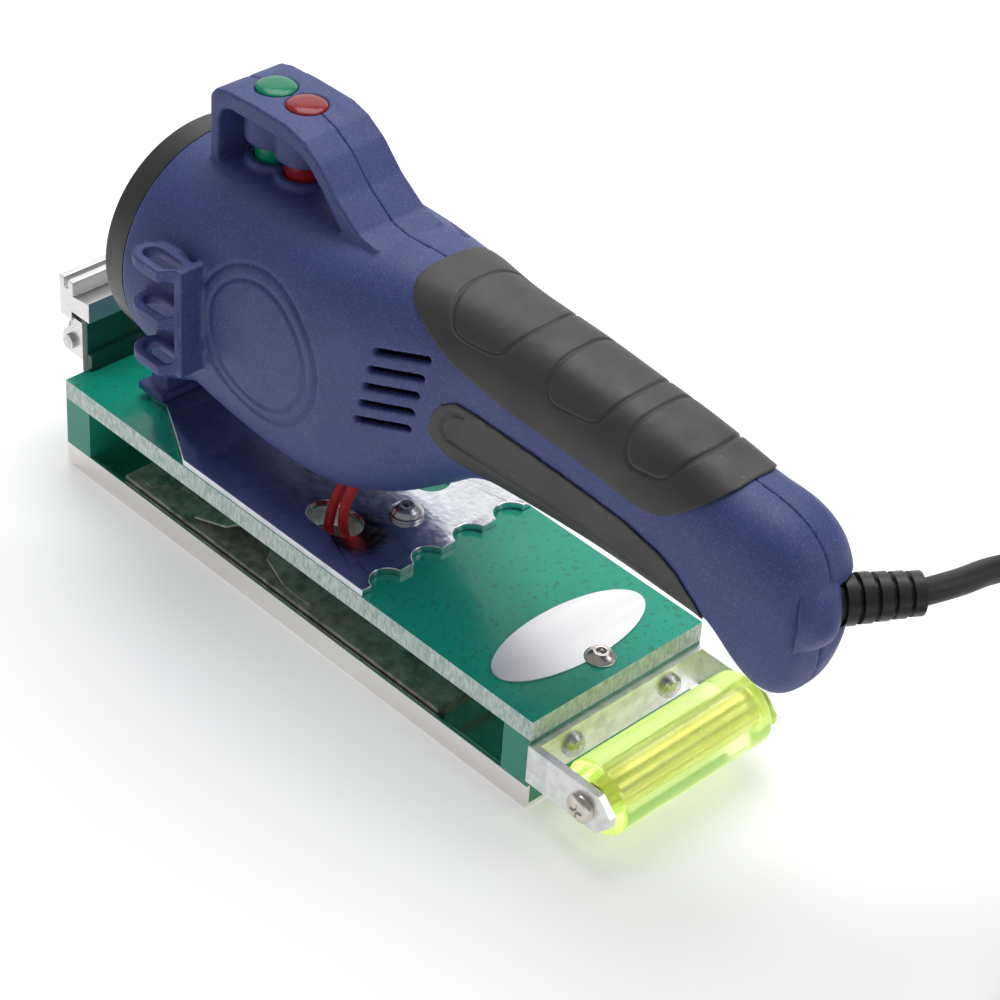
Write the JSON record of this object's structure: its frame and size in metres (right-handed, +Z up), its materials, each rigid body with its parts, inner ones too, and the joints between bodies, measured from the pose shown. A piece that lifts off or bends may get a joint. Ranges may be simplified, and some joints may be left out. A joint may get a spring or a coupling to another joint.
{
  "type": "edge banding machine",
  "caption": "Hand-held hot-melt edge bander: heated steel sole in a glass-fibre frame, plastic housing with grip and push buttons, pressure roller behind, tape guide in front",
  "frame": {"origin": "centre of the heated sole's underside", "axes": "+X to the rear (roller and cord), +Y to the tool's right, +Z up"},
  "size_m": [0.4867, 0.1372, 0.1563],
  "materials": {
    "sole_plate": "polished stainless sheet",
    "heat_spreader": "bare",
    "mica_heater": "mica",
    "heater_board": "glass-fibre board",
    "insulation_sheet": "thin board",
    "thermostat": "plated",
    "heater_lead_1": "glass sleeve",
    "heater_lead_2": "glass sleeve",
    "front_block": "glass-fibre laminate",
    "rear_block": "glass-fibre laminate",
    "top_plate": "glass-fibre laminate",
    "stand_plate": "zinc plated",
    "stand_screw": "zinc plated",
    "stand_nut": "zinc plated",
    "plate_screws": "nickel plated",
    "plaque": "satin",
    "roller_bracket": "bare",
    "bracket_screws": "zinc plated",
    "roller": "clear polyurethane",
    "roller_sleeve_left": "turned",
    "roller_sleeve_right": "turned",
    "roller_axle": "bright",
    "roller_washers": "nylon",
    "axle_screws": "nickel plated",
    "front_wall": "glass-fibre laminate",
    "wall_cleat": "glass-fibre laminate",
    "guide_rail": "mill finish",
    "guide_tabs": "mill finish",
    "guide_roller": "nylon",
    "guide_pin": "bright",
    "housing_left": "textured",
    "housing_right": "textured",
    "front_disc": "soft gloss",
    "top_grip_left": "moulded",
    "top_grip_right": "moulded",
    "side_grip_left": "moulded",
    "side_grip_right": "moulded",
    "green_button": "clear",
    "red_button": "clear",
    "green_spring": "spring",
    "red_spring": "spring",
    "green_switch": "moulded",
    "red_switch": "moulded",
    "switch_carrier": "laminate",
    "control_board": "laminate",
    "relay": "moulded",
    "capacitor": "sleeved",
    "terminal_block": "moulded",
    "housing_screws": "black zinc",
    "strain_relief": "moulded",
    "power_cord": "sheath",
    "cord_tail": "sheath",
    "cord_coil": "sheath",
    "cord_tie": "moulded",
    "plug": "moulded",
    "plug_pins": "nickel plated"
  },
  "bodies": {
    "machine": {"sole_plate": "sole_plate", "heat_spreader": "heat_spreader", "mica_heater": "mica_heater", "heater_board": "heater_board", "insulation_sheet": "insulation_sheet", "thermostat": "thermostat", "heater_lead_1": "heater_lead_1", "heater_lead_2": "heater_lead_2", "front_block": "front_block", "rear_block": "rear_block", "top_plate": "top_plate", "stand_plate": "stand_plate", "stand_screw": "stand_screw", "stand_nut": "stand_nut", "plate_screws": "plate_screws", "plaque": "plaque", "roller_bracket": "roller_bracket", "bracket_screws": "bracket_screws", "roller_axle": "roller_axle", "roller_washers": "roller_washers", "axle_screws": "axle_screws", "front_wall": "front_wall", "wall_cleat": "wall_cleat", "guide_rail": "guide_rail", "guide_tabs": "guide_tabs", "guide_pin": "guide_pin", "housing_left": "housing_left", "housing_right": "housing_right", "front_disc": "front_disc", "top_grip_left": "top_grip_left", "top_grip_right": "top_grip_right", "side_grip_left": "side_grip_left", "side_grip_right": "side_grip_right", "green_spring": "green_spring", "red_spring": "red_spring", "green_switch": "green_switch", "red_switch": "red_switch", "switch_carrier": "switch_carrier", "control_board": "control_board", "relay": "relay", "capacitor": "capacitor", "terminal_block": "terminal_block", "housing_screws": "housing_screws", "strain_relief": "strain_relief", "power_cord": "power_cord", "cord_tail": "cord_tail", "cord_coil": "cord_coil", "cord_tie": "cord_tie", "plug": "plug", "plug_pins": "plug_pins"},
    "green_button": {"green_button": "green_button"},
    "red_button": {"red_button": "red_button"},
    "pressure_roller": {"roller": "roller", "roller_sleeve_left": "roller_sleeve_left", "roller_sleeve_right": "roller_sleeve_right"},
    "guide_roller": {"guide_roller": "guide_roller"}
  },
  "joints": [
    {"name": "green_button_press", "type": "slide", "parent": "machine", "child": "green_button", "axis": [0, 0, -1], "range_m": [0, 0.0025], "stiffness_N_per_m": 600, "springref_m": -0.003, "deforming": ["green_spring"]},
    {"name": "red_button_press", "type": "slide", "parent": "machine", "child": "red_button", "axis": [0, 0, -1], "range_m": [0, 0.0025], "stiffness_N_per_m": 600, "springref_m": -0.003, "deforming": ["red_spring"]},
    {"name": "roller_spin", "type": "hinge", "parent": "machine", "child": "pressure_roller", "pos_m": [0.1304, 0, 0.0176], "axis": [0, 1, 0], "continuous": true},
    {"name": "guide_roller_spin", "type": "hinge", "parent": "machine", "child": "guide_roller", "pos_m": [-0.1186, 0, 0.0382], "axis": [0, 1, 0], "continuous": true}
  ]
}
